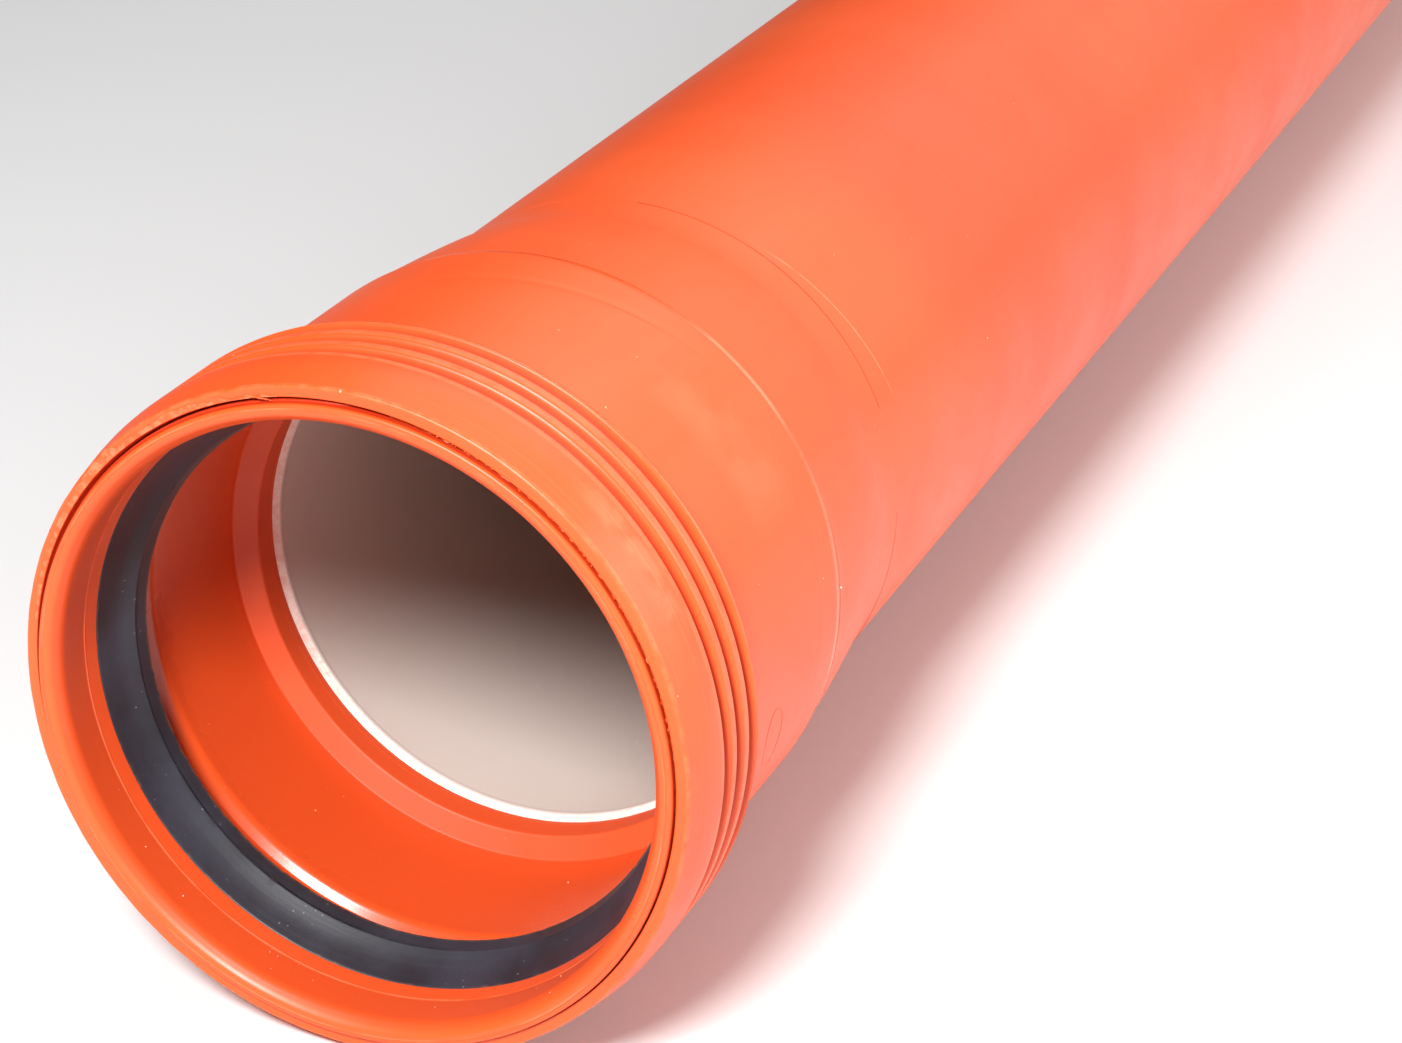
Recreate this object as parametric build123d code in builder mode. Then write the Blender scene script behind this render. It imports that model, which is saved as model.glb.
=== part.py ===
from build123d import *
import os

os.makedirs("parts", exist_ok=True)

# The pipe, in mm, as its size class is sold
pipe_od = 160.0
pipe_wall = 6.9
laying_length = 1000.0
spigot_chamfer_length = 9.0
spigot_chamfer_depth = 2.4
cut_bevel_length = 2.4
cut_bevel_depth = 1.7

# The socket's inside, going in from its mouth
mouth_clearance = 0.6
stop_depth = 87.2
stop_slope_length = 4.3
stop_land_length = 8.8
stop_overhang = 5.5
recess_wall = 5.7
recess_lead = 1.0
recess_lead_flare = 0.5

# The weld: the pipe's end is skimmed and the socket's tail closes over it
weld_skim = 0.8
weld_length = 60.7

# The socket's outside: collar with grooves, barrel and closing tail
collar_wall = 5.7
nose_drop = 2.0
nose_chamfer = 1.2
collar_draft_length = 11.0
collar_length = 40.0
collar_rear_run = 1.0
groove_count = 3
groove_first = 20.4
groove_pitch = 8.0
groove_width = 4.4
groove_depth = 3.0
groove_side_run = 0.7
barrel_wall = 5.4
barrel_step = 0.35
tail_length = 49.0
tail_cone_length = 28.0
tail_cone_drop = 1.4
tail_bulge = 0.6

# The locking ring pressed into the mouth, its rounded nose a little proud of it
ring_gap = 0.3
ring_length = 19.7
ring_proud = 1.7
ring_round = 2.7
ring_round_bulge = 0.3
ring_edge_chamfer = 1.2

# The rubber seal behind the ring, and its lip that leans inward and back
seal_gap = 0.15
seal_end_play = 0.2
heel_length = 15.8
heel_step = 1.9
crest_length = 10.3
crest_lift = 5.3
lip_length = 14.3
lip_reach = 6.4
lip_thickness = 1.9
lip_end_slant = 0.9
lip_root_length = 9.5
lip_root_lift = 0.5

# Radii that follow
pipe_r = pipe_od / 2
bore_r = pipe_r - pipe_wall
weld_r = pipe_r - weld_skim
socket_r = pipe_r + mouth_clearance
recess_r = socket_r + recess_wall
collar_r = recess_r + collar_wall
nose_r = collar_r - nose_drop
groove_floor_r = collar_r - groove_depth
barrel_r = socket_r + barrel_wall
tail_r = barrel_r - barrel_step
stop_r = pipe_r - stop_overhang
ring_r = recess_r - ring_gap
heel_r = recess_r - seal_gap
lip_r = socket_r - lip_reach

# Depths from the mouth that follow
ring_round_end = ring_round - ring_proud
seal_front = ring_length - ring_proud
heel_end = seal_front + heel_length
lip_end = seal_front + lip_length
recess_depth = heel_end + seal_end_play
stop_end = stop_depth + stop_slope_length
pipe_end = stop_end + stop_land_length
tail_end = pipe_end + weld_length
tail_start = tail_end - tail_length
total_length = stop_end + laying_length
mouth_x = (total_length - ring_proud) / 2

# Every piece is turned about one axis: x is the depth from the mouth, y the radius
turning = Plane(origin=(mouth_x, 0, collar_r), x_dir=(-1, 0, 0), z_dir=(0, 1, 0))
turning_axis = Axis(turning.origin, turning.x_dir)

# The pipe: skimmed and bevelled inside the socket, chamfered at the spigot
with BuildPart() as pipe:
    with BuildSketch(turning):
        with BuildLine():
            Polyline(
                (pipe_end, weld_r),
                (tail_end, weld_r),
                (tail_end, pipe_r),
                (total_length - spigot_chamfer_length, pipe_r),
                (total_length, pipe_r - spigot_chamfer_depth),
                (total_length, bore_r),
                (pipe_end + cut_bevel_length, bore_r),
                (pipe_end, bore_r + cut_bevel_depth),
                close=True,
            )
        make_face()
    revolve(axis=turning_axis)

# The socket moulding: its outside runs from the nose to the tail, its inside back again
with BuildPart() as socket:
    with BuildSketch(turning):
        with BuildLine():
            outside = [
                (0, nose_r - nose_chamfer),
                (nose_chamfer, nose_r),
                (collar_draft_length, collar_r),
            ]
            for i in range(groove_count):
                groove_start = groove_first + i * groove_pitch - groove_width / 2
                groove_end = groove_start + groove_width
                outside += [
                    (groove_start, collar_r),
                    (groove_start + groove_side_run, groove_floor_r),
                    (groove_end - groove_side_run, groove_floor_r),
                    (groove_end, collar_r),
                ]
            tail_bend = (tail_start + tail_cone_length, tail_r - tail_cone_drop)
            tail_foot = (tail_end, pipe_r)
            outside += [
                (collar_length, collar_r),
                (collar_length + collar_rear_run, barrel_r),
                (tail_start, barrel_r),
                (tail_start + barrel_step, tail_r),
                tail_bend,
            ]
            Polyline(*outside)
            SagittaArc(tail_bend, tail_foot, tail_bulge)
            Polyline(
                tail_foot,
                (tail_end, weld_r),
                (pipe_end, weld_r),
                (pipe_end, stop_r),
                (stop_end, stop_r),
                (stop_depth, socket_r),
                (recess_depth, socket_r),
                (recess_depth, recess_r),
                (recess_lead, recess_r),
                (0, recess_r + recess_lead_flare),
                (0, nose_r - nose_chamfer),
            )
        make_face()
    revolve(axis=turning_axis)

# The locking ring: a plain band with a rounded front face
with BuildPart() as locking_ring:
    with BuildSketch(turning):
        with BuildLine():
            nose_start = (ring_round_end, socket_r)
            nose_end = (-ring_proud, socket_r + ring_round)
            SagittaArc(nose_start, nose_end, ring_round_bulge)
            Polyline(
                nose_end,
                (-ring_proud, ring_r - ring_edge_chamfer),
                (ring_edge_chamfer - ring_proud, ring_r),
                (seal_front, ring_r),
                (seal_front, socket_r),
                nose_start,
            )
        make_face()
    revolve(axis=turning_axis)

# The seal: a heel in the recess behind the ring, and a lip leaning into the bore
with BuildPart() as seal_ring:
    with BuildSketch(turning):
        with BuildLine():
            Polyline(
                (seal_front, heel_r),
                (seal_front, socket_r),
                (seal_front + crest_length, socket_r - crest_lift),
                (lip_end, lip_r),
                (lip_end + lip_end_slant, lip_r + lip_thickness),
                (seal_front + lip_root_length, socket_r - lip_root_lift),
                (heel_end, socket_r + heel_step),
                (heel_end, heel_r),
                close=True,
            )
        make_face()
    revolve(axis=turning_axis)

pipe.part.label = "pipe"
socket.part.label = "socket"
locking_ring.part.label = "locking_ring"
seal_ring.part.label = "seal_ring"

export_step(pipe.part, "parts/pipe.step")
export_step(socket.part, "parts/socket.step")
export_step(locking_ring.part, "parts/locking_ring.step")
export_step(seal_ring.part, "parts/seal_ring.step")
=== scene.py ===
import bmesh
import bpy
import numpy as np
from mathutils import Matrix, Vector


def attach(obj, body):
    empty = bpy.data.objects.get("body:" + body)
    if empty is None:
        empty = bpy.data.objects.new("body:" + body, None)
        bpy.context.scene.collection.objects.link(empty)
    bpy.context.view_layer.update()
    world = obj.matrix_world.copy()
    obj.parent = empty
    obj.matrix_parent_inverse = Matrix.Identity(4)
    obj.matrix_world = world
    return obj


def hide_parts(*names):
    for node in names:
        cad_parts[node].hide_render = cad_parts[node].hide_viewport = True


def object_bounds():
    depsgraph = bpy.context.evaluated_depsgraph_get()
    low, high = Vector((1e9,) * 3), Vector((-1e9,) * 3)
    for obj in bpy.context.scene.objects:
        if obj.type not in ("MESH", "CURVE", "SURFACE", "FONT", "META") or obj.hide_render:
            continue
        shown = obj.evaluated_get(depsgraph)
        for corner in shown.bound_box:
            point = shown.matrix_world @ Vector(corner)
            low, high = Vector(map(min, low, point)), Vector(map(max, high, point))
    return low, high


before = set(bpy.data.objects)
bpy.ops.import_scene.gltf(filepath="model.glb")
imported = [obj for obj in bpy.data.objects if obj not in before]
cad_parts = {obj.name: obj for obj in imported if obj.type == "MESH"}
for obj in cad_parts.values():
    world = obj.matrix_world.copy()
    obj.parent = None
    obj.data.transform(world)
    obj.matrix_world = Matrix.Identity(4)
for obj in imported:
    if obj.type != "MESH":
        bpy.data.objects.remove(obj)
cadLow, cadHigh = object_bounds()

mm = 0.001                                      # metres
perMetre = 1000                                 # mm
perRadian = 57.2958                             # degrees
axisHeight = (cadLow.z + cadHigh.z) / 2 / mm    # the pipe lies on its collar
frontX = cadHigh.x / mm                         # x of the foremost point, the locking ring's nose

camera = {
    "place": (1.2282, 0.3718, 0.4946),
    "looks": (-0.8450, -0.3447, -0.4089),
    "lens": 91.93,
    "sensorWidth": 36,
    "sees": (0.01, 60),     # nearest and farthest, in metres
}


def aimedObject(name, data, place, looks):
    # stands at the place and faces along looks: its -z is looks as a unit vector, its x is level, and its y
    # is the cross product of x and looks
    looks = np.array(looks) / np.linalg.norm(looks)
    side = np.cross(looks, (0, 0, 1))
    side /= np.linalg.norm(side)
    up = np.cross(side, looks)
    turn = Matrix([[side[i], up[i], -looks[i]] for i in range(3)]).to_4x4()
    made = bpy.data.objects.new(name, data)
    made.matrix_world = Matrix.Translation(place) @ turn
    bpy.context.scene.collection.objects.link(made)
    return made


def makeCamera():
    # a level camera without shift
    data = bpy.data.cameras.new("photoCamera")
    data.lens = camera["lens"]
    data.sensor_width = camera["sensorWidth"]
    data.clip_start, data.clip_end = camera["sees"]
    bpy.context.scene.camera = aimedObject("photoCamera", data, camera["place"], camera["looks"])


makeCamera()
print("camera placed")


def angleStations(steps, fine=(), spread=0.6, fineSteps=9):
    # even steps round the circle, and close ones at the fine angles, in degrees from the top towards +y
    even = np.linspace(-180, 180, steps, endpoint=False)
    near = [a + np.linspace(-1, 1, fineSteps) * spread for a in fine]
    return np.unique(np.concatenate([even, *near]).round(4))


def softCorners(corners, turnStep):
    # each corner (depth, radius, rounding) of a closed outline becomes the arc
    # (1-t)^2 start + 2t(1-t) corner + t^2 end, whose start and end lie one rounding away from it, or less on
    # a short side. It gets a point more for each turnStep degrees that it turns, and a guard point on each
    # side keeps the flats flat
    shortest, guardLimit = 0.1, 0.5     # mm
    sideShare = 0.42                    # of a side, the most that one arc takes
    spec = np.array(corners, float)
    spot, rounding = spec[:, :2], spec[:, 2]
    back, ahead = np.roll(spot, 1, 0) - spot, np.roll(spot, -1, 0) - spot
    backRun, aheadRun = np.linalg.norm(back, axis=1), np.linalg.norm(ahead, axis=1)
    back, ahead = back / backRun[:, None], ahead / aheadRun[:, None]
    cut = np.minimum(rounding, sideShare * np.minimum(backRun, aheadRun))
    turn = 180 - np.degrees(np.arccos(np.clip((back * ahead).sum(1), -1, 1)))
    rows = []
    for at, b, n, c, bend in zip(spot, back, ahead, cut, turn):
        count = 2 if c < shortest else int(np.ceil(bend / turnStep)) + 2
        t = np.linspace(0, 1, count)[:, None]
        guard = min(c * 0.5, guardLimit)
        rows.append((at + b * (c + guard))[None])
        rows.append((1 - t) ** 2 * (at + b * c) + 2 * t * (1 - t) * at + t ** 2 * (at + n * c))
        rows.append((at + n * (c + guard))[None])
    return np.concatenate(rows)


def closeStations(outline, longest, zones=()):
    # walks the closed outline and adds even points p + (q - p) t where a run from p to q is longer than
    # allowed; a zone (depth from, depth to, least radius, longest run) asks for closer points
    tiny = 1e-6
    found = []
    for a, b in zip(outline, np.roll(outline, -1, 0)):
        cuts = [0.0, 1.0]
        span = b[0] - a[0]
        if abs(span) > tiny:
            near = [z for z in zones if min(a[1], b[1]) > z[2]]
            cuts += [(edge - a[0]) / span for z in near for edge in z[:2]]
        cuts = sorted(c for c in cuts if 0 <= c <= 1)
        for c, d in zip(cuts, cuts[1:]):
            p, q = a + (b - a) * c, a + (b - a) * d
            run = np.linalg.norm(q - p)
            if run < tiny:
                continue
            middle = (p + q) / 2
            inZone = [z[3] for z in zones if z[0] <= middle[0] <= z[1] and middle[1] > z[2]]
            limit = min([longest] + inZone)
            steps = max(1, int(np.ceil(run / limit)))
            found.append(p + (q - p) * np.linspace(0, 1, steps, endpoint=False)[:, None])
    return np.concatenate(found)


def meshPiece(name, points, faces, smooth=True):
    # puts points in mm and lists of point numbers into a mesh, with its place in the mesh
    mesh = bpy.data.meshes.new(name)
    mesh.from_pydata((points * mm).tolist(), [], faces)
    mesh.polygons.foreach_set("use_smooth", np.full(len(faces), smooth))
    mesh.update()
    made = bpy.data.objects.new(name, mesh)
    bpy.context.scene.collection.objects.link(made)
    print(name, sum(len(f) - 2 for f in faces), "triangles")
    return made


def onPipe(depth, radius, angle):
    # (mouthX - depth, radius sin a, axisHeight + radius cos a): x runs back from the mouth, and the angle is
    # in degrees from the top towards +y
    a = np.radians(angle)
    return np.stack([mouthX - depth, radius * np.sin(a), axisHeight + radius * np.cos(a)], -1)


def gridFaces(rows, columns, closeRows=True):
    # four-cornered faces between neighbouring rows and columns of a grid of points whose columns close
    i = np.arange(rows if closeRows else rows - 1)[:, None]
    j = np.arange(columns)[None]
    up, on = (i + 1) % rows, (j + 1) % columns
    corners = [i * columns + j, up * columns + j, up * columns + on, i * columns + on]
    return np.stack(corners, -1).reshape(-1, 4).tolist()


def turnedPiece(name, outline, angles, relief, shift=None):
    # carries the closed outline round the pipe's axis: shift(depth, radius, angle) gives a moved depth and
    # radius, and relief(depth, radius, angle) is how far the surface stands out along its own normal, in mm
    area = np.sum(outline[:, 0] * np.roll(outline[:, 1], -1) - np.roll(outline[:, 0], -1) * outline[:, 1])
    if area > 0:
        outline = outline[::-1]
    rows, columns = len(outline), len(angles)
    depth = np.repeat(outline[:, :1], columns, 1)
    radius = np.repeat(outline[:, 1:], columns, 1)
    angle = np.repeat(angles[None], rows, 0)
    run = np.roll(outline, -1, 0) - np.roll(outline, 1, 0)
    run /= np.linalg.norm(run, axis=1)[:, None]
    height = relief(depth, radius, angle)
    if shift:
        depth, radius = shift(depth, radius, angle)
    depth = depth + height * -run[:, 1:]
    radius = radius + height * run[:, :1]
    return meshPiece(name, onPipe(depth, radius, angle).reshape(-1, 3), gridFaces(rows, columns))


def sweptPiece(name, loops, closed=False):
    # joins closed loops of points, one after the other, into one skin; the first and last loop get a cap
    # unless they join too
    count, around = loops.shape[:2]
    faces = gridFaces(count, around, closeRows=closed)
    if not closed:
        faces += [list(range(around)), list(range(count * around - 1, (count - 1) * around - 1, -1))]
    made = meshPiece(name, loops.reshape(-1, 3), faces)
    skin = bmesh.new()
    skin.from_mesh(made.data)
    bmesh.ops.recalc_face_normals(skin, faces=skin.faces)
    skin.to_mesh(made.data)
    skin.free()
    return made


def bead(name, path, size, sides=6, closed=False):
    # a thin round strand: path + size (side cos t + out sin t), where out points away from the pipe's axis
    # and side lies across the path
    ahead = np.roll(path, -1, 0) - np.roll(path, 1, 0) if closed else np.gradient(path, axis=0)
    out = path * (0, 1, 1) - (0, 0, axisHeight)
    out /= np.linalg.norm(out, axis=1)[:, None]
    side = np.cross(ahead, out)
    side /= np.linalg.norm(side, axis=1)[:, None]
    turn = np.linspace(0, 2 * np.pi, sides, endpoint=False)[None, :, None]
    reach = np.cos(turn) * side[:, None] + np.sin(turn) * out[:, None]
    return sweptPiece(name, path[:, None] + size[:, None, None] * reach, closed)


def wave(angle, seed, low, high):
    # a smooth random line round the circle: the sum of size cos(frequency angle + phase) over the whole
    # frequencies from low to high, scaled to stay mostly within 1
    draw = np.random.default_rng(seed)
    frequency = np.arange(low, high + 1)
    size = draw.uniform(0.3, 1, len(frequency))
    phase = draw.uniform(0, 2 * np.pi, len(frequency))
    turn = np.radians(np.asarray(angle, float))[..., None]
    return (np.cos(turn * frequency + phase) * size).sum(-1) / np.sqrt((size ** 2).sum() / 2) / 2


def bump(value, centre, width):
    # t^2 (3 - 2t) with t = 1 - |value - centre| / width: a hill of height 1, gone at one width on either side
    t = np.clip(1 - np.abs(value - centre) / width, 0, 1)
    return t * t * (3 - 2 * t)


def between(value, start, end, fade):
    # 1 from start to end, falling to 0 over the fade outside, as the product of two smooth steps
    rise = np.clip((value - start) / fade + 1, 0, 1)
    fall = np.clip((end - value) / fade + 1, 0, 1)
    return rise * rise * (3 - 2 * rise) * fall * fall * (3 - 2 * fall)


def angleFrom(angle, middle):
    # degrees round the circle from the middle, without a sign
    return np.abs((angle - middle + 180) % 360 - 180)


def finishPiece(piece, finish, node=None):
    # grit on the two cut ends stays inside the CAD's length, as x is kept between the bounds; then the piece
    #     # gets its finish and its body, and the CAD part that it stands for, if named, is hidden
    points = np.empty(len(piece.data.vertices) * 3, np.float32)
    piece.data.vertices.foreach_get("co", points)
    points[0::3] = np.clip(points[0::3], cadLow.x, cadHigh.x)
    piece.data.vertices.foreach_set("co", points)
    piece.data.update()
    piece.data.materials.append(finish)
    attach(piece, "root")
    if node:
        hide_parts(node)


class Wire:
    # a shader socket that is reckoned with like a number
    def __init__(self, finish, socket):
        self.finish = finish
        self.socket = socket

    def maths(self, operation, *values):
        # one Math node on the values, of which self may be one
        return self.finish.add("ShaderNodeMath", {"operation": operation}, dict(enumerate(values)))

    def __add__(self, other):
        return self.maths("ADD", self, other)

    def __sub__(self, other):
        return self.maths("SUBTRACT", self, other)

    def __rsub__(self, other):
        return self.maths("SUBTRACT", other, self)

    def __mul__(self, other):
        return self.maths("MULTIPLY", self, other)

    def __truediv__(self, other):
        return self.maths("DIVIDE", self, other)

    def __rtruediv__(self, other):
        return self.maths("DIVIDE", other, self)

    def __pow__(self, other):
        return self.maths("POWER", self, other)

    def __rpow__(self, other):
        return self.maths("POWER", other, self)

    __radd__ = __add__
    __rmul__ = __mul__

    def ramp(self, low, high, to=(0, 1)):
        # eases from the first value of to up to the second as the socket goes from low to high
        settings = {"interpolation_type": "SMOOTHSTEP", "clamp": True}
        inputs = {0: self, 1: low, 2: high, 3: to[0], 4: to[1]}
        return self.finish.add("ShaderNodeMapRange", settings, inputs)

    def within(self, low, high, fade):
        # 1 from low to high and 0 a fade outside
        return self.ramp(low - fade, low) * self.ramp(high, high + fade, (1, 0))


class Finish:
    # one material and its nodes, with where a point lies on the pipe: radius, depth and angle
    def __init__(self, name, **constants):
        self.material = bpy.data.materials.new(name)
        self.material.use_nodes = True
        self.tree = self.material.node_tree
        self.shader = self.tree.nodes["Principled BSDF"]
        for socket, value in constants.items():
            self.shader.inputs[socket].default_value = value
        self.place = self.add("ShaderNodeTexCoord", {}, {}, "Object")
        parts = self.add("ShaderNodeSeparateXYZ", {}, {0: self.place}).socket.node
        self.x, y, z = (Wire(self, s) for s in parts.outputs)
        up = z - axisHeight * mm
        girth = (y * y + up * up) ** 0.5
        self.sideways = y / girth
        self.upwards = up / girth
        self.radius = girth * perMetre                          # mm from the axis
        self.depth = (mouthX * mm - self.x) * perMetre          # mm behind the lip
        self.angle = y.maths("ARCTAN2", y, up) * perRadian      # degrees from the top towards +y

    def add(self, kind, settings, inputs, output=0):
        # a node with its settings, then the values or wires of its sockets
        node = self.tree.nodes.new(kind)
        for key, value in settings.items():
            setattr(node, key, value)
        for key, value in inputs.items():
            if isinstance(value, Wire):
                self.tree.links.new(value.socket, node.inputs[key])
            else:
                node.inputs[key].default_value = value
        return Wire(self, node.outputs[output])

    def grain(self, scale, detail=2, roughness=0.5, at=None):
        # cloudy noise, so many cells per metre
        inputs = {"Vector": at or self.place, "Scale": scale, "Detail": detail, "Roughness": roughness}
        return self.add("ShaderNodeTexNoise", {}, inputs)

    def lined(self, alongDepth, across, detail=2, roughness=0.6):
        # noise stretched along the pipe or round it: so many per metre of depth, and so many round the girth
        spot = {0: self.x * alongDepth, 1: self.sideways * across, 2: self.upwards * across}
        return self.grain(1, detail, roughness, self.add("ShaderNodeCombineXYZ", {}, spot))

    def specks(self, count, small, large, share):
        # round dots, so many per metre, only where a slower noise is above the share
        inputs = {"Vector": self.place, "Scale": count, "Randomness": 1}
        near = self.add("ShaderNodeTexVoronoi", {"feature": "F1"}, inputs)
        return near.ramp(small, large, (1, 0)) * self.grain(count / 4, 2).ramp(share, share + 0.12)

    def blend(self, share, first, second):
        # the first colour, turning into the second as the share goes to 1
        return self.add("ShaderNodeMix", {"data_type": "RGBA"}, {0: share, 6: first, 7: second}, 2)

    def link(self, socket, wire):
        # the wire goes to one of the material's own sockets
        self.tree.links.new(wire.socket, self.shader.inputs[socket])

    def raised(self, height, distance, strength):
        # height times distance in metres, as a bump on top of those before it
        inputs = {"Height": height, "Distance": distance, "Strength": strength}
        if self.shader.inputs["Normal"].is_linked:
            inputs["Normal"] = Wire(self, self.shader.inputs["Normal"].links[0].from_socket)
        self.link("Normal", self.add("ShaderNodeBump", {}, inputs))


def colour(red, green, blue):
    # 0 to 255 as a screen shows it, turned into the linear values that a shader takes
    screen = np.array([red, green, blue]) / 255
    linear = np.where(screen <= 0.04045, screen / 12.92, ((screen + 0.055) / 1.055) ** 2.4)
    return (*linear.tolist(), 1.0)


plastic = {
    "skin": colour(233, 84, 30),        # outside
    "skinPale": colour(236, 90, 35),
    "skinDeep": colour(229, 79, 27),
    "deep": colour(219, 80, 33),        # inside, a darker copy of the skin: painted shade
    "deepDark": colour(211, 75, 30),
    "shade": colour(178, 44, 16),       # painted shade in the grooves and in the gap round the ring
    "paleWearAndHighlight": colour(242, 138, 96),       # pale colour of rubbed edges, torn plastic and grit, also used for painted highlights on the socket, the ring's waist line and the pipe's thin arc
    "dust": colour(252, 214, 196),
    "skinRough": 0.38,
    "deepRough": 0.28,
    "cloudy": (0.35, 0.65),             # the noise values between which a cloud turns from dark to pale
    "ior": 1.5,
}


def orangePlastic(name, deepRadius, alongLines, roundLines, deepEnd=2000):
    # satin orange plastic: cloudy colour, drawing lines, scuffs and dust; inside deepRadius down to the depth
    # deepEnd it is glossier,
    #     # and darker as painted shade. It leaves its colour in tone and its roughness in matt
    f = Finish(name, IOR=plastic["ior"])
    cloud = f.grain(5, 3)
    lines = f.lined(1.5, alongLines, 3)
    turns = f.lined(roundLines, 1.2, 4, 0.7)
    f.inner = f.radius.ramp(deepRadius, deepRadius + 1.2, (1, 0))
    f.inner = f.inner * f.depth.ramp(deepEnd, deepEnd + 2, (1, 0))
    skin = f.blend(cloud.ramp(*plastic["cloudy"]), plastic["skinDeep"], plastic["skinPale"])
    skin = f.blend(lines.ramp(0.4, 0.65) * 0.25, skin, plastic["skin"])
    # painted shade: the darker inside copy of the colour
    deep = f.blend(cloud.ramp(*plastic["cloudy"]), plastic["deepDark"], plastic["deep"])
    f.tone = f.blend(f.inner, skin, deep)
    f.tone = f.blend(f.specks(260, 0.03, 0.09, 0.6) * 0.5, f.tone, plastic["dust"])
    f.matt = f.inner.ramp(0, 1, (plastic["skinRough"], plastic["deepRough"]))
    f.matt = f.matt + f.grain(24, 4, 0.6).ramp(0.3, 0.75) * 0.1
    exposed = f.inner.ramp(0, 1, (1, 0.25))
    f.raised(cloud * exposed, 0.0005, 0.15)
    f.raised(lines * f.inner.ramp(0, 1, (1, 0)), 0.0002, 0.2)
    f.raised(turns * exposed, 0.00008, 0.4)
    f.raised(f.grain(900, 2), 0.00002, 0.5)
    return f


ring = {
    "proud": 1.7,               # mm that the nose stands out of the mouth
    "outer": 86.12,             # radius of the nose
    "body": 86.28,              # radius from the shoulder back, close to the recess
    "shoulder": 0.7,            # depth of the shoulder, the floor of the gap round the nose
    "inner": 80.6,
    "length": 18.0,
    "slopeStart": 83.2,         # radius where the nose's face turns in, and the depth where its slope ends
    "slopeEnd": 1.3,
    "slopeRound": 2.6,
    "outerRound": 1.0,
    "waist": (13.0, 81.2),      # depth and radius where its inside is widest
    "offCentre": 0.2,           # mm that it sits towards the lower right of the recess
    "offAngle": 135,
    "trueFrom": 9,              # depth from which its inside isn't off centre
    "outside": 85,              # the radius that parts its outside from its inside
    "sunk": 1.8,                # mm that the shoulder lies deeper on the right, and between which angles
    "sunkAngles": (10, 135),
    "toolMarks": ((84.5, 0.2, 0.03), (84.85, 0.16, 0.025)),     # radius, width and depth of two turned lines
    "toolMarkDepth": -1.5,      # they are only on the nose, in front of this depth
    "landWave": 0.03,
}
mouthX = frontX - ring["proud"]


def ringOutline():
    # round the inside's front, the nose, the shoulder, the outside and back along the inside with its waist
    depth, radius = ring["waist"]
    return [
        (ring["slopeEnd"], ring["inner"], ring["slopeRound"]),
        (-ring["proud"], ring["slopeStart"], ring["slopeRound"]),
        (-ring["proud"], ring["outer"], ring["outerRound"]),
        (ring["shoulder"], ring["outer"], 0.15),
        (ring["shoulder"] + 0.1, ring["body"], 0.1),
        (ring["length"], ring["body"], 0.2),
        (ring["length"], ring["inner"] - 0.1, 0.35),
        (depth + 0.45, radius - 0.12, 0.12),
        (depth + 0.15, radius - 0.24, 0.12),
        (depth - 0.2, radius - 0.02, 0.12),
    ]


# where the gap between ring and lip opens, in degrees and mm
gap = {"middle": -42, "spread": 85, "opening": 0.4}


def gapWidening(angle):
    # opening bump(angle): widest at the middle and nothing at one spread away from it
    return gap["opening"] * bump(angleFrom(angle, gap["middle"]), 0, gap["spread"])


def ringShift(depth, radius, angle):
    # radius + offCentre cos(angle - offAngle), fading on the inside, less the gap's widening on the outer
    # front edge, and depth + sunk at the shoulder on the right
    outside = radius > ring["outside"]
    edge = between(radius, 85.2, 90, 1.6) * between(depth, -9, 0, 1.2)
    inward = np.clip((ring["trueFrom"] - depth) / ring["trueFrom"], 0, 1)
    hold = np.where(outside, np.where(depth > ring["shoulder"] + 0.02, 0, 1), inward)
    aside = ring["offCentre"] * np.cos(np.radians(angle - ring["offAngle"])) * hold
    sunk = np.clip((depth + 0.1) / 0.5, 0, 1) * np.clip((12 - depth) / 11, 0, 1)
    sunk = sunk * np.where(outside, 1, 0)
    sunk = sunk * ring["sunk"] * between(angle, *ring["sunkAngles"], 12)
    return depth + sunk, radius + aside - gapWidening(angle) * edge


def ringRelief(depth, radius, angle):
    # the land's low wave, less the two turned lines, which are bumps of the radius cut into the nose
    nose = np.where(depth < ring["toolMarkDepth"], 1, 0)
    lines = sum(deep * bump(radius, at, width) for at, width, deep in ring["toolMarks"])
    land = np.where(radius < 81.6, 1, 0) * ring["landWave"] * wave(angle, 4, 3, 9)
    return land - nose * lines * (0.6 + 0.4 * wave(angle, 2, 1, 6))


collar = {
    "lip": [(0, 89.85, 0.7), (11, 91.95, 4)],       # depth, radius and rounding of the lip's two corners
    "radius": 91.95,
    "grooves": (20.4, 28.4, 36.4),                  # depths of their middles
    "halfWidth": 2.2,
    "floor": 89.0,
    "side": 0.9,                                    # run of a groove's side
    "ridgeRound": 0.9,
    "floorRound": 0.5,
    "end": 40,
}

socketForm = {
    # depth, radius and rounding of its corners behind the collar, out to the tail and inside to the mouth
    "barrel": [(41, 86, 1.1), (110.6, 86, 1.2), (113.4, 85.5, 1.6)],
    "tail": [(127, 84.4, 150), (140, 83.3, 150), (152, 82.0, 150), (161, 80.75, 0.05)],
    "weld": [(161, 79.2, 0.05), (100.3, 79.2, 0.05)],
    "stop": [(100.3, 74.45, 0.4), (91.8, 74.42, 0.5), (88.9, 80.6, 0.35)],
    "leadIn": [(46.4, 80.6, 1.3), (44.0, 83.5, 0.3), (34, 83.5, 0.4)],
    "recess": [(34, 86.3, 0.2), (1.7, 86.3, 0.15), (1.1, 86.6, 0.15), (0, 86.7, 0.25)],
    # depth and radius of the line that parts its outside from its inside
    "outsideFrom": ((0, 88.3), (40, 88.3), (41, 84.6), (112, 84.6), (161, 80.2)),
}

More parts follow.
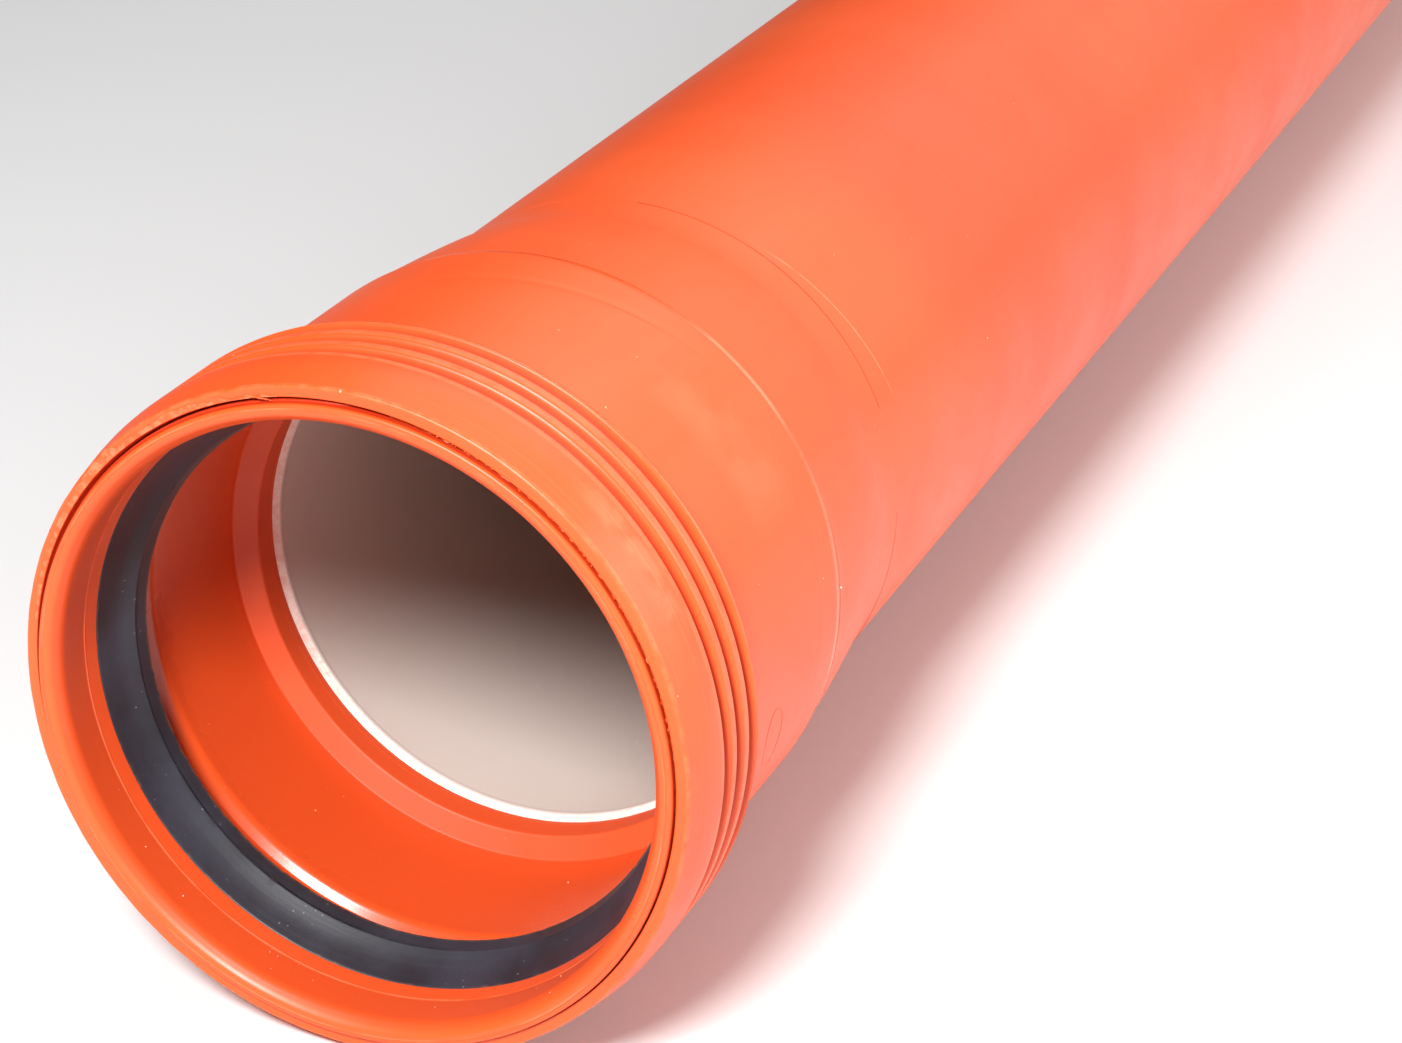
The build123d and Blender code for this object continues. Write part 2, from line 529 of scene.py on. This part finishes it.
mouldTraces = {
    # what moulding left on the socket: depths, widths and heights in mm, angles in degrees
    "parting": {"angles": (116.5, -63.5), "width": 0.28, "height": 0.07},
    "sinkLine": {"depth": 94, "width": 2.2, "lean": 0.28, "level": 5, "angles": (-20, 34), "height": -0.15},
    "band": {"depth": 100.5, "width": 3, "angles": (72, 104), "height": 0.08},
    "fade": 14,
    "drift": {"depth": 75, "width": 45, "height": 0.05},
    "lipLine": {"radius": 87.95, "width": 0.25, "height": -0.07},
    "lipRough": 0.045,
    "stopRough": 0.05,
    "stopRib": {"depth": 98.2, "width": 0.8, "height": 0.09},
    "barrelEnd": {"depth": 112.2, "width": 7, "angle": 100, "spread": 80, "back": 2.6},
}


def socketOutline():
    # over the lip, the collar with its grooves, the barrel and the tail, and back inside
    radius, half, side = collar["radius"], collar["halfWidth"], collar["side"]
    rows = list(collar["lip"])
    for middle in collar["grooves"]:
        rows += [
            (middle - half, radius, collar["ridgeRound"]),
            (middle - half + side, collar["floor"], collar["floorRound"]),
            (middle + half - side, collar["floor"], collar["floorRound"]),
            (middle + half, radius, collar["ridgeRound"]),
        ]
    rows.append((collar["end"], radius, 0.9))
    for part in ("barrel", "tail", "weld", "stop", "leadIn", "recess"):
        rows += socketForm[part]
    return rows


def socketSkin(depth, radius):
    # 1 on the outside of the socket, where the radius is above the line through outsideFrom
    return np.where(radius > np.interp(depth, *zip(*socketForm["outsideFrom"])), 1.0, 0.0)


def socketShift(depth, radius, angle):
    # radius + the gap's widening at the lip's inner edge, and depth + back bump(depth) bump(angle) where the
    # end of the barrel wanders back on the right
    end = mouldTraces["barrelEnd"]
    edge = between(radius, 80, 87.1, 1.4) * between(depth, -1, 0.8, 2.6) * np.where(radius > 86, 1, 0)
    step = bump(depth, end["depth"], end["width"])
    step = step * bump(angleFrom(angle, end["angle"]), 0, end["spread"]) * socketSkin(depth, radius)
    return depth + end["back"] * step, radius + gapWidening(angle) * edge


def socketRelief(depth, radius, angle):
    # a sum of heights times bumps: parting lines, sink line, band and drift on the outside, the fine groove
    # round the lip, the lip's uneven edge, and the stop's unevenness and rib
    traces, fade = mouldTraces, mouldTraces["fade"]
    part, sink, band, drift, line, rib = (
        traces[key] for key in ("parting", "sinkLine", "band", "drift", "lipLine", "stopRib"))
    parting = sum(bump(angleFrom(angle, a), 0, part["width"]) for a in part["angles"]) * part["height"]
    sunk = bump(depth - sink["lean"] * (angle - sink["level"]), sink["depth"], sink["width"])
    sunk = sunk * between(angle, *sink["angles"], fade)
    raised = bump(depth, band["depth"], band["width"]) * between(angle, *band["angles"], fade)
    slow = drift["height"] * wave(angle, 3, 2, 5) * bump(depth, drift["depth"], drift["width"])
    skin = parting + sink["height"] * sunk + band["height"] * raised + slow
    front = np.where(depth < 0.2, 1, 0) * np.where(radius > 86.5, 1, 0)
    fine = line["height"] * (bump(radius, line["radius"], line["width"]) * front)
    rough = traces["lipRough"] * wave(angle, 8, 30, 70) * bump(radius + depth, 90, 1.6)
    rough = rough * np.where(depth < 2, 1, 0)
    stop = traces["stopRough"] * wave(angle, 6, 5, 40) * bump(depth, 90, 4)
    stop = stop + rib["height"] * bump(depth, rib["depth"], rib["width"])
    return socketSkin(depth, radius) * skin + fine + rough + stop * np.where(radius < 81, 1, 0)


seal = {
    # depth, radius and rounding of its corners
    "heel": [(18.0, 86.15, 0.2), (18.0, 80.6, 0.5)],
    "crest": [(23.6, 78.2, 3.2), (27.9, 74.95, 0.35), (28.6, 75.3, 0.3)],
    "tip": [(32.3, 74.2, 0.4), (33.2, 76.1, 0.3)],
    "root": [(27.5, 80.1, 0.5), (33.8, 82.0, 0.4), (33.8, 86.15, 0.3)],
    "waveHeight": 0.07,
    "nickDepth": 0.16,
    "nickRadius": 74.6,
}


def sealRelief(depth, radius, angle):
    # waveHeight wave(angle) on the face, less small nicks along the crest and tip
    inner = np.where(radius < 80, 1, 0)
    nicks = bump(wave(angle, 12, 20, 90), 1.2, 0.7) * bump(radius, seal["nickRadius"], 1.2)
    return inner * (seal["waveHeight"] * wave(angle, 11, 3, 14) - seal["nickDepth"] * nicks)


pipe = {
    # depth, radius and rounding of its corners
    "inSocket": [(100.3, 79.2, 0.3), (161, 79.2, 0.05), (161, 80.75, 0.05)],
    "outOfTail": [(166.5, 80.25, 60), (174, 80.03, 40), (177, 80, 2.2)],
    "spigot": [(1082.5, 80, 1.5), (1091.5, 77.6, 0.5), (1091.5, 73.1, 0.4)],
    "cutEnd": [(102.7, 73.1, 0.35), (100.3, 74.8, 0.3)],
    # two arcs left on the skin by handling
    "thinArc": {"depth": 183.2, "tilt": 0.2, "middle": 50, "angles": (36, 60), "fade": 12, "height": 0.09},
    "softArc": {
        "depth": 338, "tilt": 0.9, "bend": 50, "angles": (46, 72), "fade": 14, "height": 0.16, "width": 9,
    },
    "slowWave": 0.07,
    "cutRoughness": 0.03,
}


def pipeRelief(depth, radius, angle):
    # the two arcs as bumps of the depth, slowWave wave(angle) sin(depth / 90 + angle), and random grit on the
    # cut ends
    skin = np.where((radius > 79.5) & (depth > 162), 1, 0)
    thin, soft = pipe["thinArc"], pipe["softArc"]
    line = bump(depth - thin["tilt"] * (angle - thin["middle"]), thin["depth"], 0.8)
    line = line * between(angle, *thin["angles"], thin["fade"]) * thin["height"]
    swell = bump(depth + soft["tilt"] * np.clip(soft["bend"] - angle, 0, 20), soft["depth"], soft["width"])
    swell = swell * between(angle, *soft["angles"], soft["fade"]) * soft["height"]
    slow = pipe["slowWave"] * wave(angle, 5, 2, 4) * np.sin(depth / 90 + np.radians(angle))
    cut = np.where((depth < 102.5) & (radius < 75.3) | (depth > 1091), 1, 0)
    grit = np.random.default_rng(5).normal(0, pipe["cutRoughness"], depth.shape)
    return skin * (line + swell + slow) + cut * grit


inside = {
    # the pipe's off-white layer, and its cut ends
    "pale": colour(205, 194, 186),
    "deep": colour(196, 184, 175),
    "cutPale": colour(244, 226, 217),
    "cutRose": colour(236, 202, 190),
    "grime": colour(120, 88, 72),
    "rough": 0.52,
    "skinStart": 77.6,      # radius where the off-white ends and the orange skin starts
    "bore": 73.25,          # radius where the bore's own colour ends
}


def pipePlastic():
    # orange skin outside, off-white layer inside; the cut ends between them are rough and almost white
    f = orangePlastic("pipePlastic", 76, 60, 350)
    thin = pipe["thinArc"]
    lineDepth = thin["depth"] - thin["tilt"] * thin["middle"]
    # pale scuff along the thin arc, which also paints the arc's highlight
    scuffAndHighlight = (f.depth - f.angle * thin["tilt"]).within(lineDepth - 0.15, lineDepth + 0.15, 0.4)
    scuffAndHighlight = scuffAndHighlight * f.angle.within(*thin["angles"], thin["fade"]) * f.grain(180, 3).ramp(0.3, 0.6)
    tone = f.blend(scuffAndHighlight * 0.7, f.tone, plastic["paleWearAndHighlight"])
    core = f.blend(f.grain(420, 4, 0.7).ramp(0.38, 0.6), inside["cutRose"], inside["cutPale"])
    core = f.blend(f.specks(520, 0.08, 0.2, 0.6) * 0.5, core, inside["grime"])
    tone = f.blend(f.radius.ramp(inside["skinStart"], inside["skinStart"] + 0.2, (1, 0)), tone, core)
    mottle = f.lined(1.2, 30, 3).ramp(0.3, 0.7) * 0.05 + f.grain(7, 3).ramp(0.3, 0.7) * 0.5
    pale = f.blend(mottle, inside["deep"], inside["pale"])
    pale = f.blend(f.specks(150, 0.02, 0.05, 0.6) * 0.5, pale, inside["grime"])
    bore = f.radius.ramp(inside["bore"], inside["bore"] + 0.2, (1, 0))
    f.link("Base Color", f.blend(bore, tone, pale))
    f.link("Roughness", f.matt + f.radius.ramp(77.5, 77.8, (inside["rough"] - plastic["deepRough"], 0)))
    ends = f.depth.ramp(103, 104, (1, 0)) + f.depth.ramp(1090.8, 1091.2)
    f.raised(f.grain(1500, 3, 0.7) * ends, 0.0002, 0.9)
    return f.material


wearAndPaintedLight = {
    # how much of the pale colour shows at each place of the socket: the scratches are wear, and the ridges,
    # lip, collar, barrel, barrel end and glint entries are painted highlights
    "ridgeHighlights": 0.28, "lip": 0.3, "scratches": 0.22, "collarHighlight": 0.3, "barrelHighlight": 0.18,
    "barrelEnd": 0.3, "barrelGlint": 0.6,
    "paintedShade": (0.75, 0.85),       # share of the painted shade in the grooves, and in the gap round the ring
}


def socketPlastic():
    # painted highlights on the ridges and the lip's edge, painted shade in the grooves and the gap, turned
    # scratches, two painted highlight
    #     # patches on the collar and the barrel, and a painted highlight line at the barrel's end; the stop
    #     is duller than the wall
    f = orangePlastic("socketPlastic", 83.5, 20, 500, 103)
    # painted shade: the grooves darken towards their floors
    grooves = f.depth.within(18, 39, 0.4) * f.radius.ramp(89.4, 91.4, (wearAndPaintedLight["paintedShade"][0], 0))
    tone = f.blend(grooves, f.tone, plastic["shade"])
    # painted shade on the lip's inner face, in the gap round the ring
    gapShade = f.depth.within(0.25, 2.2, 0.3) * f.radius.ramp(86.9, 87.2, (wearAndPaintedLight["paintedShade"][1], 0))
    tone = f.blend(gapShade, tone, plastic["shade"])
    # painted highlight on the ridges' crests
    ridgeHighlight = f.depth.within(16, 40.3, 0.6) * f.radius.ramp(91.8, 91.93)
    ridgeHighlight = ridgeHighlight * f.grain(200, 4, 0.7).ramp(0.2, 0.6)
    # painted highlight along the lip's rounded edge
    lipHighlight = f.depth.within(0.2, 0.9, 0.5) * f.radius.ramp(89, 89.5)
    lipHighlight = lipHighlight * f.grain(260, 4, 0.7).ramp(0.3, 0.65)
    scratched = f.lined(2600, 0.9, 2).ramp(0.58, 0.72)
    scratched = scratched * f.depth.within(3, 15, 2) * f.angle.within(20, 80, 20)
    # painted highlights: a patch on the collar and one on the barrel
    collarHighlight = f.depth.within(9.5, 13.5, 3) * f.angle.within(46, 60, 9) * f.grain(110, 3).ramp(0.4, 0.6)
    barrelHighlight = f.depth.within(80, 92, 12) * f.angle.within(40, 58, 12) * f.grain(45, 3).ramp(0.42, 0.62)
    paleWearAndHighlight = ridgeHighlight * wearAndPaintedLight["ridgeHighlights"] + lipHighlight * wearAndPaintedLight["lip"] + scratched * wearAndPaintedLight["scratches"]
    paleWearAndHighlight = paleWearAndHighlight + collarHighlight * wearAndPaintedLight["collarHighlight"] + barrelHighlight * wearAndPaintedLight["barrelHighlight"]
    outside = f.radius.ramp(84, 85)
    # painted highlight line at the barrel's end: a glint between 36 and 50 degrees and a fainter line from 28
    # to 100
    step = f.depth.within(111.4, 112.9, 0.5) * outside
    paleWearAndHighlight = paleWearAndHighlight * outside + step * f.angle.within(36, 50, 8) * wearAndPaintedLight["barrelGlint"]
    paleWearAndHighlight = paleWearAndHighlight + step * f.angle.within(28, 100, 14) * wearAndPaintedLight["barrelEnd"]
    f.link("Base Color", f.blend(paleWearAndHighlight, tone, plastic["paleWearAndHighlight"]))
    stop = f.depth.within(87.5, 100.3, 1) * f.radius.ramp(81, 82, (1, 0))
    leadIn = f.depth.within(43, 50, 4) * f.radius.ramp(83, 84, (1, 0))
    f.link("Roughness", f.matt + scratched * 0.12 + stop * 0.2 - step * 0.16 - leadIn * 0.06)
    f.raised(scratched, 0.00004, 0.7)
    return f.material


def ringPlastic():
    # the nose is turned smooth, its shoulder gets painted shade and its waist line a painted highlight, and
    # inside, the colour deepens behind the rounding as painted shade
    f = orangePlastic("ringPlastic", 81.4, 20, 500)
    # painted highlight along the line at the land's waist
    waist = f.depth.within(12.6, 13.4, 0.3) * f.radius.ramp(81.6, 81.9, (1, 0))
    waist = waist * f.grain(90, 3).ramp(0.35, 0.6)
    nose = f.depth.ramp(-1.5, -1.2, (1, 0)) * f.radius.within(84.4, 84.7, 0.15)
    nose = nose * f.grain(60, 3).ramp(0.4, 0.6)
    # painted shade on the shoulder, in the gap round the nose
    shoulder = f.depth.ramp(-0.9, -0.3) * f.radius.ramp(85.0, 85.3, (0, wearAndPaintedLight["paintedShade"][1]))
    tone = f.blend(shoulder, f.tone, plastic["shade"])
    f.link("Base Color", f.blend(waist * 0.2 + nose * 0.3, tone, plastic["paleWearAndHighlight"]))
    f.link("Roughness", f.matt + f.inner * 0.08)
    return f.material


rubber = {
    "dark": colour(31, 32, 38),
    "pale": colour(44, 46, 56),
    "dust": colour(150, 143, 142),
    "rust": colour(122, 74, 48),        # orange dust rubbed onto the lip's edge
    "rough": 0.43,
    "ior": 1.5,
}


def sealRubber():
    # dark grey rubber with a bloom, turning lines, dust, and an orange-brown bloom on the tip and front edge
    f = Finish("sealRubber", IOR=rubber["ior"])
    cloud = f.grain(40, 4, 0.6)
    turns = f.lined(900, 1.5, 3, 0.6)
    tone = f.blend(cloud.ramp(0.3, 0.75), rubber["dark"], rubber["pale"])
    tone = f.blend(f.specks(420, 0.05, 0.14, 0.52) * 0.5, tone, rubber["dust"])
    tip = f.depth.ramp(31.4, 32.3) * f.radius.ramp(74.9, 75.6, (1, 0))
    tip = tip * f.grain(220, 4, 0.7).ramp(0.35, 0.6)
    front = f.depth.ramp(18.2, 18.8, (1, 0)) * f.radius.ramp(81, 81.4, (1, 0))
    front = front * f.grain(220, 4, 0.7).ramp(0.5, 0.7)
    f.link("Base Color", f.blend(tip * 0.8 + front * 0.5, tone, rubber["rust"]))
    f.link("Roughness", rubber["rough"] + cloud.ramp(0.3, 0.8) * 0.08 + turns.ramp(0.4, 0.7) * 0.06)
    f.raised(cloud, 0.0002, 0.2)
    f.raised(turns, 0.00008, 0.5)
    f.raised(f.grain(1400, 2), 0.00003, 0.6)
    return f.material


def makeTurned():
    # the four pieces of the frame, each with its arcs' step in degrees, its longest run in mm, and the zones
    # that take closer points
    corners = pipe["inSocket"] + pipe["outOfTail"] + pipe["spigot"] + pipe["cutEnd"]
    outline = closeStations(softCorners(corners, 30), 40, [
        (178, 190, 79, 0.6), (322, 352, 79, 4), (100, 104.6, 72.9, 0.5), (1091, 1092, 73, 0.8)])
    made = turnedPiece("pipe_wall", outline, angleStations(600), pipeRelief)
    finishPiece(made, pipePlastic(), "pipe")
    outline = closeStations(softCorners(socketOutline(), 30), 9, [
        (-0.1, 0.1, 86, 0.2), (88, 107, 84, 1.3), (108, 118, 84, 1.0), (96.8, 99.6, 72, 0.4)])
    angles = angleStations(332, mouldTraces["parting"]["angles"])
    made = turnedPiece("socket_moulding", outline, angles, socketRelief, socketShift)
    finishPiece(made, socketPlastic(), "socket")
    outline = closeStations(softCorners(ringOutline(), 10), 2, [(-1.8, -1.6, 83, 0.12)])
    made = turnedPiece("locking_band", outline, angleStations(480), ringRelief, ringShift)
    finishPiece(made, ringPlastic(), "locking_ring")
    corners = seal["heel"] + seal["crest"] + seal["tip"] + seal["root"]
    outline = closeStations(softCorners(corners, 14), 2)
    made = turnedPiece("seal_lip", outline, angleStations(600), sealRelief)
    finishPiece(made, sealRubber(), "seal_ring")


makeTurned()
print("turned pieces made")


film = {
    "start": 86.9,      # radius on the lip's face from which distances along it are taken
    "inner": 86.8,
    # degrees and radius of the torn outer edge
    "edge": (
        (-80, 87.6), (-74, 88.1), (-67, 88.4), (-62, 88.6), (-56, 88.9), (-50, 89.4), (-43.5, 90.1),
        (-42, 88.4), (-37, 88.3), (-34, 88.6), (-32, 88.5), (-31, 89.1), (-28, 88.8), (-23.4, 88.6),
        (-22, 87.7), (-20.8, 88.6), (-19.6, 88.5), (-18.7, 87.8), (-17, 87.6), (-12, 87.8), (-9.5, 87.4),
    ),
    "stations": 560, "across": 9, "lift": 0.2, "buried": 0.12,
}


def lipSurface(out):
    # depth, radius and outward normal at a distance out along the lip from the film's start: the lip's own
    # rounded outline, looked up by its length
    start = film["start"]
    rim = softCorners([(0, start, 0), *collar["lip"], (collar["lip"][1][0], start, 0)], 4)
    rim = rim[(rim[:, 1] > start - 0.01) & (rim[:, 0] < 6)]
    rim = rim[np.concatenate([[True], np.linalg.norm(np.diff(rim, axis=0), axis=1) > 1e-6])]
    along = np.concatenate([[0], np.cumsum(np.linalg.norm(np.diff(rim, axis=0), axis=1))])
    slope = np.gradient(rim, along, axis=0)
    depth, radius, run, rise = (np.interp(out, along, v) for v in (*rim.T, *slope.T))
    return depth, radius, -rise, run


def tornFilm():
    # a thin torn film of plastic left on the lip: lipSurface + lift normal, from the lip's inner edge out to
    # a wandering torn edge, with its underside buried in the lip
    edge = np.array(film["edge"])
    angle = np.linspace(edge[0, 0], edge[-1, 0], film["stations"])[:, None]
    v = np.linspace(0, 1, film["across"])[None]
    inner = film["inner"] + gapWidening(angle)
    outer = np.interp(angle, *edge.T) + 0.1 * wave(angle, 21, 20, 90) + 0.06 * wave(angle, 22, 100, 300)
    radius = inner + np.maximum(outer - inner, 0.06) * v
    depth, radius, front, side = lipSurface(radius - film["start"])
    lift = film["lift"] * (0.75 + 0.2 * wave(angle, 23, 30, 120) + 0.7 * v ** 6)
    top = onPipe(depth + lift * front, radius + lift * side, angle)
    bottom = onPipe(depth - film["buried"] * front, radius - film["buried"] * side, angle)
    return sweptPiece("lip_film", np.concatenate([top, bottom[:, ::-1]], 1))


# depth, radius and angle where the tag starts, and how far it runs in each
tag = {"from": (0, 88.0, -15.4), "run": (-0.45, -1.7, 5.0), "stations": 26, "wander": 0.12}


def tornTag():
    # a shred of the film that lies across the gap: from + run t, wandering, and thickest a third of the way
    # along
    t = np.linspace(0, 1, tag["stations"])
    depth, radius, angle = (start + run * t for start, run in zip(tag["from"], tag["run"]))
    size = 0.05 + 0.27 * bump(t, 0.35, 0.7) + 0.05 * wave(t * 90, 25, 8, 40)
    return bead("torn_tag", onPipe(depth, radius + tag["wander"] * wave(t * 90, 24, 8, 30), angle), size, 8)


swarf = {
    "angles": (10, 94), "stations": 1100, "radius": 86.5, "depth": 0.35, "thin": 0.02, "thick": 0.2,
    "crumbs": 60, "crumbAngles": (18, 88), "crumbDepths": (-0.1, 0.7), "crumbRadii": (86.3, 87.0),
    "crumbSizes": (0.08, 0.22),
    # lumps on the film: depth, radius and angle
    "lumps": [[0, 88.0, -24.4], [0, 88.3, -21.2], [0, 87.7, -17.4], [0, 88.7, -45], [0.1, 88.6, -60]],
    "lumpSize": 0.3,
}


def gapSwarf():
    # ragged swarf in the gap between ring and lip on the right: a strand whose size and place follow random
    # waves
    angle = np.linspace(*swarf["angles"], swarf["stations"])
    rag = np.clip(1.4 * wave(angle, 31, 60, 260) - 0.15, 0, 1)
    size = (swarf["thin"] + (swarf["thick"] - swarf["thin"]) * rag) * between(angle, 22, 80, 8)
    radius = swarf["radius"] + 0.14 * wave(angle, 32, 40, 200)
    depth = swarf["depth"] + 0.25 * wave(angle, 33, 50, 180)
    return bead("gap_swarf", onPipe(depth, radius, angle), np.maximum(size, swarf["thin"]))


mark = {
    "depth": 71, "angle": 103, "halfDepth": 5.6, "halfAngle": 6.4, "lean": 0.25, "stations": 140,
    "size": 0.05, "radius": 85.99,
}


def mouldMark():
    # a plain raised oval on the barrel: angle + halfAngle sin t, depth + halfDepth cos t, leaning with the
    # angle
    turn = np.linspace(0, 2 * np.pi, mark["stations"], endpoint=False)
    angle = mark["angle"] + mark["halfAngle"] * np.sin(turn)
    depth = mark["depth"] + mark["halfDepth"] * np.cos(turn) + mark["lean"] * (angle - mark["angle"])
    size = mark["size"] * (0.8 + 0.2 * np.cos(3 * turn))
    return bead("mould_mark", onPipe(depth, mark["radius"], angle), size, 8, True)


def grains(name, spots, sizes, seed):
    # many little uneven lumps in one mesh: spot + ball size stretch uneven, where each ball is stretched at
    # random along x, y and z and each of its points is moved a little in or out
    draw = np.random.default_rng(seed)
    sphere = bmesh.new()
    bmesh.ops.create_icosphere(sphere, subdivisions=2, radius=1)
    ball = np.array([v.co[:] for v in sphere.verts])
    faces = np.array([[v.index for v in f.verts] for f in sphere.faces])
    sphere.free()
    count = len(spots)
    stretch = draw.uniform(0.6, 1.35, (count, 1, 3)) * np.asarray(sizes)[:, None, None]
    uneven = 1 + 0.16 * draw.normal(size=(count, len(ball), 1))
    points = onPipe(*np.asarray(spots, float).T)[:, None] + ball[None] * stretch * uneven
    every = faces[None] + np.arange(count)[:, None, None] * len(ball)
    return meshPiece(name, points.reshape(-1, 3), every.reshape(-1, 3).tolist())


dust = {
    # the grains that show in the photo: depth, radius and angle
    "seen": [(53, 86.0, 32.7), (262, 80.0, 75.5), (22.3, 89.0, 92.4), (115, 85.7, 87.3), (0.3, 89.7, 1.5)],
    "seenSize": [0.32, 0.28, 0.3, 0.3, 0.28],
    "random": 70,
    "size": (0.08, 0.2),
    "ior": 1.45,
    # where the random grains lie: depth from, depth to, radius, angle from, angle to
    "bands": [
        (200, 1050, 80.0, -180, 180), (45, 110, 86.0, -180, 180), (18.8, 22, 89.0, -60, 120),
        (45, 84, 80.6, 110, 250), (2, 12, 80.85, 110, 250), (110, 400, 73.1, 120, 240),
    ],
}


def dustSpots():
    # the seen grains, and random ones spread evenly over randomly picked bands
    draw = np.random.default_rng(41)
    pick = np.array(dust["bands"])[draw.integers(0, len(dust["bands"]), dust["random"])]
    share = draw.uniform(0, 1, (2, dust["random"]))
    depth = pick[:, 0] + (pick[:, 1] - pick[:, 0]) * share[0]
    angle = pick[:, 3] + (pick[:, 4] - pick[:, 3]) * share[1]
    spots = np.concatenate([dust["seen"], np.stack([depth, pick[:, 2], angle], -1)])
    return spots, np.concatenate([dust["seenSize"], draw.uniform(*dust["size"], dust["random"])])


def swarfSpots():
    # crumbs spread evenly along the gap on the right, and a few lumps on the film
    draw = np.random.default_rng(43)
    count = swarf["crumbs"]
    angle, depth, radius = (
        draw.uniform(*swarf[key], count) for key in ("crumbAngles", "crumbDepths", "crumbRadii"))
    spots = np.concatenate([np.stack([depth, radius, angle], -1), np.array(swarf["lumps"])])
    lumpSizes = np.full(len(swarf["lumps"]), swarf["lumpSize"])
    return spots, np.concatenate([draw.uniform(*swarf["crumbSizes"], count), lumpSizes])


def paleDust():
    # pale orange grit with deeper grains
    f = Finish("paleDust", IOR=dust["ior"])
    f.link("Base Color", f.blend(f.grain(700, 3).ramp(0.35, 0.65), plastic["dust"], plastic["paleWearAndHighlight"]))
    f.link("Roughness", 0.7 + f.grain(900, 2) * 0.2)
    f.raised(f.grain(3000, 2), 0.00003, 0.6)
    return f.material


def tornPlastic():
    # the same plastic where it is torn: paler and duller
    f = orangePlastic("tornPlastic", 60, 20, 500)
    f.link("Base Color", f.blend(f.grain(500, 3).ramp(0.4, 0.65) * 0.5, f.tone, plastic["paleWearAndHighlight"]))
    f.link("Roughness", f.matt + 0.08)
    return f.material


def makeTraces():
    # what making, fitting and handling left on the part
    torn = tornPlastic()
    finishPiece(tornFilm(), torn)
    finishPiece(tornTag(), torn)
    finishPiece(gapSwarf(), torn)
    finishPiece(mouldMark(), bpy.data.materials["socketPlastic"])
    finishPiece(grains("swarf_crumbs", *swarfSpots(), 44), torn)
    finishPiece(grains("dust_grains", *dustSpots(), 45), paleDust())


makeTraces()
print("traces made")


studio = {
    "world": 0.07,
    "floor": 0.74,
    "floorRough": 0.9,
    "floorReach": 14000,    # mm from the middle to each side
}
lights = {
    "keyLight": {"place": (1.70, 0.18, 1.22), "to": (0.5, 0, 0.05), "size": 0.45, "watts": 53},
    "sideLight": {"place": (-0.3, 2.0, 1.0), "to": (0.1, 0.0, 0.1), "size": 1.6, "watts": 33},
    "topLight": {"place": (-0.9, 0.0, 1.7), "to": (0.2, 0.0, 0.1), "size": 1.6, "watts": 10},
    "backLight": {"place": (-2.2, 1.3, 1.5), "to": (0.2, 0, 0.1), "size": 2.8, "watts": 18},
}


def areaLight(name, place, to, size, watts):
    # a round lamp of that size, in metres, at the place and facing the point to
    data = bpy.data.lights.new(name, "AREA")
    data.shape = "DISK"
    data.size = size
    data.energy = watts
    aimedObject(name, data, place, np.array(to) - np.array(place))


def makeStudio():
    # a dim even surrounding, a pale floor under the pipe and four soft lamps
    scene = bpy.context.scene
    scene.view_settings.view_transform = "Standard"
    scene.world = bpy.data.worlds.new("softRoom")
    scene.world.use_nodes = True
    background = scene.world.node_tree.nodes["Background"]
    background.inputs["Color"].default_value = (1, 1, 1, 1)
    background.inputs["Strength"].default_value = studio["world"]
    reach = studio["floorReach"]
    corners = np.array([(-reach, -reach, 0), (reach, -reach, 0), (reach, reach, 0), (-reach, reach, 0)])
    floor = meshPiece("floor", corners, [[0, 1, 2, 3]], False)
    paint = bpy.data.materials.new("paleFloor")
    paint.use_nodes = True
    shader = paint.node_tree.nodes["Principled BSDF"]
    shader.inputs["Base Color"].default_value = (*[studio["floor"]] * 3, 1)
    shader.inputs["Roughness"].default_value = studio["floorRough"]
    floor.data.materials.append(paint)
    for name, light in lights.items():
        areaLight(name, **light)


makeStudio()
print("studio lit")
